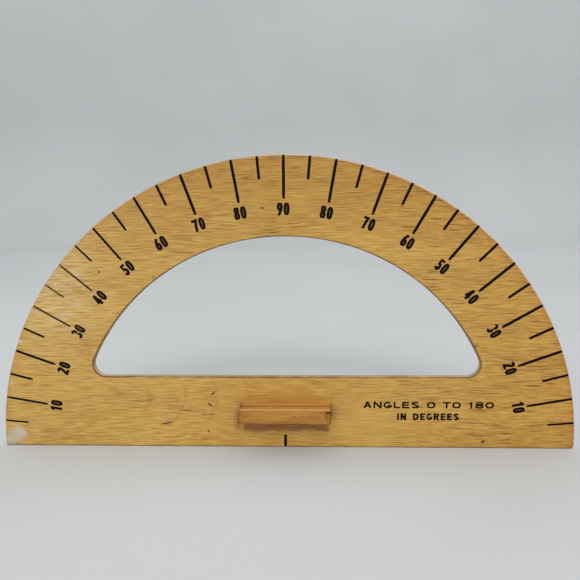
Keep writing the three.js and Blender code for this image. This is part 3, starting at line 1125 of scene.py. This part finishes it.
def handle_section():
    """(depth from the board, height over the middle) once round the finger pull's section."""
    base, cove, start, end = HANDLE_BASE_DEPTH, HANDLE_COVE_END, HANDLE_LIP_START, HANDLE_LIP_END
    half, edge, step = HANDLE_HALF, HANDLE_EDGE, HANDLE_COVE_DEPTH / 2
    under, low = half - HANDLE_LIP, half - HANDLE_COVE_DEPTH - step
    upper = [(depth, half) for depth in (0, 1.3, 2.6, 3.9)]
    upper += [(base - edge + edge * d, half - edge + edge * h)
              for d, h in ((0, 1), (0.7, 0.7), (1, 0))]
    upper.append((base, half - step))
    upper += bezier(upper[-1], (base + step, low), (cove - 2 * step, low), (cove, half - 0.05), 12)
    upper += [(cove + 0.8, half), (start, half)]
    lip = bezier((start, half), (start + 1.2, half), (end, half - 0.1), (end, under), 8)
    lip += [(end + 0.1, under - 0.12), (end + 0.35, under - 0.1),
            (HANDLE_DEPTH - 0.5, under - 0.12), (HANDLE_DEPTH - 0.25, under - 0.22)]
    top, bottom, swell = under - 0.4, edge - half, HANDLE_DEPTH - HANDLE_SWELL
    front = []
    for i in range(15):
        f = i / 14
        front.append((swell - HANDLE_CROWN * (2 * f - 1) ** 2, top + (bottom - top) * f))
    rim = swell - HANDLE_CROWN
    turns = [math.pi / 2 * (1 - i / 4) for i in range(4)]
    foot = [(rim - edge + edge * math.sin(a), -half + edge - edge * math.cos(a)) for a in turns]
    lower = [(cove + 2.5, -half)] + [(d, -h) for d, h in reversed(upper) if d < start]
    return upper + lip + front + foot + lower


def handle_stations():
    """Places along the finger pull, close together at its ends and closest at the worn one."""
    places = [HANDLE_LEFT + x for x in (0, 0.08, 0.25, 0.5, 0.9)]
    x, torn_from = HANDLE_LEFT + 1.8, HANDLE_RIGHT - 0.5 - TORN_LENGTH
    while x < torn_from:
        places.append(x)
        x += STATION_PITCH
    steps = 22
    places += [torn_from + TORN_LENGTH * i / steps for i in range(steps)]
    return places + [HANDLE_RIGHT - x for x in (0.5, 0.25, 0.08, 0)]


def end_rounding(x):
    """How far the section is drawn in near an end."""
    left = END_EDGE - min(x - HANDLE_LEFT, HANDLE_RIGHT - x)
    return END_EDGE - math.sqrt(max(0.0, END_EDGE ** 2 - left ** 2)) if left > 0 else 0.0


def smooth(value, low, high):
    """0 below low, 1 above high, and smooth between them."""
    t = min(1.0, max(0.0, (value - low) / (high - low)))
    return t * t * (3 - 2 * t)


def torn(x, depth, height):
    """How far the front is broken away under the lip at the right end, in millimetres."""
    if depth < HANDLE_DEPTH - 2.5 or height > HANDLE_HALF - HANDLE_LIP - 0.05:
        return 0.0
    ragged = 1.3 * noise.noise(Vector((x / 1.3, height / 0.9, 3)))
    top = (height + HANDLE_HALF) / (2 * HANDLE_HALF)
    across = smooth(x + ragged + 2.5 * top, HANDLE_RIGHT - 5.2, HANDLE_RIGHT - 1.8)
    return across * (0.35 + 0.75 * top)


def handle():
    """The moulded strip: a lip over its swelled front, soft edges and a broken right end."""
    section = handle_section()
    middle_z = (handle_low.z + handle_high.z) / 2
    bm = bmesh.new()
    wear = bm.verts.layers.float.new("wear")
    rings = []
    for x in handle_stations():
        drawn = end_rounding(x)
        near_end = smooth(x, HANDLE_RIGHT - 6, HANDLE_RIGHT)
        at_end = 0.8 * smooth(x, HANDLE_RIGHT - 1.0, HANDLE_RIGHT)
        points, worn = [], []
        for depth, height in section:
            broken = torn(x, depth, height)
            wobble = 0.04 * abs(noise.noise(Vector((x / 9, depth / 3, height / 3))))
            frayed = 0.5 + 0.5 * noise.noise(Vector((height / 1.1, depth / 2, 7)))
            pull = near_end * smooth(depth, 6, 13) * (0.9 + frayed)
            at_depth = depth if depth < 1 else depth - drawn - broken - wobble
            at_height = height * (1 - (drawn + wobble) / HANDLE_HALF)
            points.append((x - pull, handle_high.y - at_depth, middle_z + at_height))
            # The wear value also marks the painted shadow: the shader darkens the deepest break
            # under the lip
            worn.append(max(broken, at_end * smooth(depth, 5, 12)))
        rings.append(vertex_ring(bm, points))
        for vert, amount in zip(rings[-1], worn):
            vert[wear] = amount
    bridge(bm, rings)
    for end in (rings[0], rings[-1]):
        bmesh.ops.triangulate(bm, faces=[bm.faces.new(end)])
    made = finished(bm, "finger_pull", handle_wood(), body=None, sharp=40)
    for screw_node in SCREW_TURNS:
        carve(made, pilot(screw_node))
    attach(made, "root")
    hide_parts("handle")


def pilot(screw):
    """The hole that a screw takes in the finger pull, as a solid to cut with."""
    low, high = box_mm(screw)
    low.y -= SCREW_GAP
    radius = (SHANK_RADIUS + SCREW_GAP) * MM
    bm = bmesh.new()
    bmesh.ops.create_cone(bm, cap_ends=True, segments=24, radius1=radius, radius2=radius,
                          depth=(high.y - low.y) * MM)
    place = Matrix.Translation((low + high) / 2 * MM) @ Matrix.Rotation(math.pi / 2, 4, "X")
    bmesh.ops.transform(bm, matrix=place, verts=bm.verts)
    return linked(bm, "pilot")


# ---- The screws

THREAD_PITCH = 1.41
THREAD_SIDES = 36
THREAD_START = 2.4  # the depth of the first of the close rings, which go on to the tip
THREAD_RINGS = 100
CREST_WIDTH = 0.28  # half of it, as a share of the pitch
TIP_LENGTH = 2.4
TIP_RADIUS = 0.06  # as a share of the body's radius
HEAD_BEVEL = 0.04
SLOT_WIDTH = 1.0
SLOT_DEPTH = 0.9


def screw_radius(depth, angle, length):
    """Radius of a screw at a depth under its head, at an angle round it."""
    head = HEAD_RIM + (HEAD_RADIUS - SHANK_RADIUS) / math.tan(HEAD_HALF_ANGLE)
    if depth <= HEAD_RIM:
        return HEAD_RADIUS
    if depth <= head:
        return HEAD_RADIUS - (depth - HEAD_RIM) * math.tan(HEAD_HALF_ANGLE)
    thread = (depth / THREAD_PITCH - angle / (2 * math.pi)) % 1
    crest = max(0.0, 1 - abs(thread - 0.5) / CREST_WIDTH)
    blend = min(1.0, max(0.0, (depth - length / 3) / 0.6))
    threaded = ROOT_RADIUS + (SHANK_RADIUS - ROOT_RADIUS) * crest
    body = SHANK_RADIUS + blend * (threaded - SHANK_RADIUS)
    tip = min(1.0, max(0.0, (length - depth) / TIP_LENGTH))
    return body * (TIP_RADIUS + (1 - TIP_RADIUS) * tip ** 0.8)


def slot_cutter():
    """A bar lying across the origin, to cut a screw's slot with."""
    bm = bmesh.new()
    bmesh.ops.create_cube(bm, size=1)
    size = Vector((3 * HEAD_RADIUS, 2 * SLOT_DEPTH, SLOT_WIDTH)) * MM
    bmesh.ops.scale(bm, vec=size, verts=bm.verts)
    return linked(bm, "slot")


def screw(node, turn, material):
    """A slotted flat-head wood screw with a real helix for its thread."""
    low, high = box_mm(node)
    length = high.y - low.y
    depths = [0, HEAD_BEVEL, HEAD_RIM, 0.7, 1.2, 1.7, 2.1, 2.3]
    threaded = length - HEAD_BEVEL - 0.01 - THREAD_START
    depths += [THREAD_START + threaded * i / THREAD_RINGS for i in range(THREAD_RINGS + 1)]
    angles = [2 * math.pi * i / THREAD_SIDES for i in range(THREAD_SIDES)]
    bm = bmesh.new()
    rings = []
    for depth in depths:
        radii = [screw_radius(depth, a, length) - (0 if depth else HEAD_BEVEL) for a in angles]
        points = [(r * math.cos(a), -depth, r * math.sin(a)) for r, a in zip(radii, angles)]
        rings.append(vertex_ring(bm, points))
    bridge(bm, rings)
    bm.faces.new(rings[0])
    bm.faces.new(rings[-1])
    made = finished(bm, node.replace("handle_screw", "wood_screw"), material, body=None)
    carve(made, slot_cutter())
    centre = Vector(((low.x + high.x) / 2, high.y, (low.z + high.z) / 2)) * MM
    made.data.transform(Matrix.Translation(centre) @ Matrix.Rotation(turn, 4, "Y"))
    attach(made, "root")
    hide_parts(node)


def screws():
    material = brass()
    for node, turn in SCREW_TURNS.items():
        screw(node, turn, material)


# ---- The studio

STAGE_RADIUS = 2.2  # sizes here are in metres
STAGE_SWEEP = 0.6
STAGE_TOP = 1.8
STAGE_SIDES = 96
LIGHT_TARGET = Vector((0, 0, 0.09))
# Name, place, width, height, power and colour
LIGHTS = (
    ("key_light", (0.05, -2.5, 2.1), 1.5, 0.75, 37, (1, 0.985, 0.965)),
    ("left_light", (-0.95, -1.35, 0.35), 0.6, 0.5, 3.2, (0.97, 0.985, 1)),
    ("back_light", (0.8, 2.3, 2.0), 1.5, 1.5, 8, (1, 1, 1)),
)
WORLD_COLOUR = (0.985, 0.995, 1.0, 1)
WORLD_STRENGTH = 0.88
CAMERA_LENS = 33.948  # millimetres, for a sensor 36 wide
CAMERA_PLACE = Vector((0.01414, -0.35233, 0.15712))
CAMERA_LOOK = Vector((-0.02992, 0.9886, -0.14753))
CAMERA_UP = Vector((0.00219, 0.14766, 0.98904))


def stage():
    """A round pale floor that sweeps up into a wall all the way round."""
    turns = [math.pi / 2 * i / 12 for i in range(13)]
    profile = [(STAGE_RADIUS / 2, 0.0)]
    profile += [(STAGE_RADIUS + STAGE_SWEEP * math.sin(a), STAGE_SWEEP * (1 - math.cos(a)))
                for a in turns]
    profile.append((STAGE_RADIUS + STAGE_SWEEP, STAGE_TOP))
    angles = [2 * math.pi * i / STAGE_SIDES for i in range(STAGE_SIDES)]
    bm = bmesh.new()
    rings = [[bm.verts.new((radius * math.cos(a), radius * math.sin(a), z + FLOOR * MM))
              for a in angles] for radius, z in profile]
    bm.faces.new(rings[0])
    bridge(bm, rings)
    made = finished(bm, "studio_floor", studio(), body=None, sharp=80)


def area_light(name, place, wide, high, power, colour):
    data = bpy.data.lights.new(name, "AREA")
    data.shape = "RECTANGLE"
    data.size, data.size_y = wide, high
    data.energy = power
    data.color = colour
    made = bpy.data.objects.new(name, data)
    made.location = place
    made.rotation_mode = "QUATERNION"
    made.rotation_quaternion = (LIGHT_TARGET - Vector(place)).to_track_quat("-Z", "Y")
    made.visible_camera = False
    bpy.context.scene.collection.objects.link(made)


def lights():
    """A wide lamp high in front, weak ones left and behind, and even light from all round."""
    for row in LIGHTS:
        area_light(*row)
    world = bpy.data.worlds.new("studio_light")
    world.use_nodes = True
    background = world.node_tree.nodes["Background"]
    background.inputs["Color"].default_value = WORLD_COLOUR
    background.inputs["Strength"].default_value = WORLD_STRENGTH
    bpy.context.scene.world = world
    bpy.context.scene.view_settings.view_transform = "Standard"


def camera():
    """Looks slightly down at the front, from just over the height of the window."""
    data = bpy.data.cameras.new("camera")
    data.sensor_width = 36
    data.lens = CAMERA_LENS
    data.clip_start = 0.01
    made = bpy.data.objects.new("camera", data)
    look = CAMERA_LOOK.normalized()
    right = look.cross(CAMERA_UP).normalized()
    turn = Matrix((right, right.cross(look), -look)).transposed()
    made.matrix_world = Matrix.Translation(CAMERA_PLACE) @ turn.to_4x4()
    bpy.context.scene.collection.objects.link(made)
    bpy.context.scene.camera = made


camera()
lights()
stage()
board()
print_on_front()
handle()
screws()
